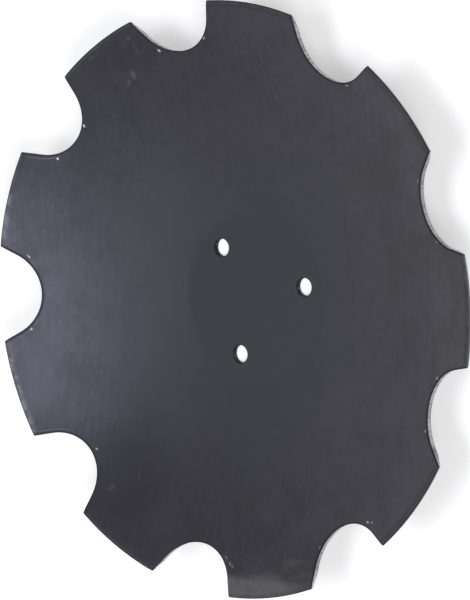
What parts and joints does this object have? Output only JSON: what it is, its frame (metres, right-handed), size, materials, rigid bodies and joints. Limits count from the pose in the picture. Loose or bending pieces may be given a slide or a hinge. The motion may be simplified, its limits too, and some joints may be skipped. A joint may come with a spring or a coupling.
{
  "type": "notched coulter disc",
  "caption": "Dished steel disc with a notched cutting rim and a flat centre drilled to bolt on a hub, for cutting and turning soil.",
  "frame": {"origin": "on the disc's axis at the back face of the flat centre, which it rests on and which bolts to the hub", "axes": "+Z along the disc's axis out of its hollow side, +X along the centre line of one notch"},
  "size_m": [0.4567, 0.46, 0.0509],
  "materials": {
    "dark_paint": "satin charcoal paint, dusty, with small chips at the notch edges"
  },
  "bodies": {
    "root": {"notched_disc": "dark_paint"}
  },
  "joints": []
}
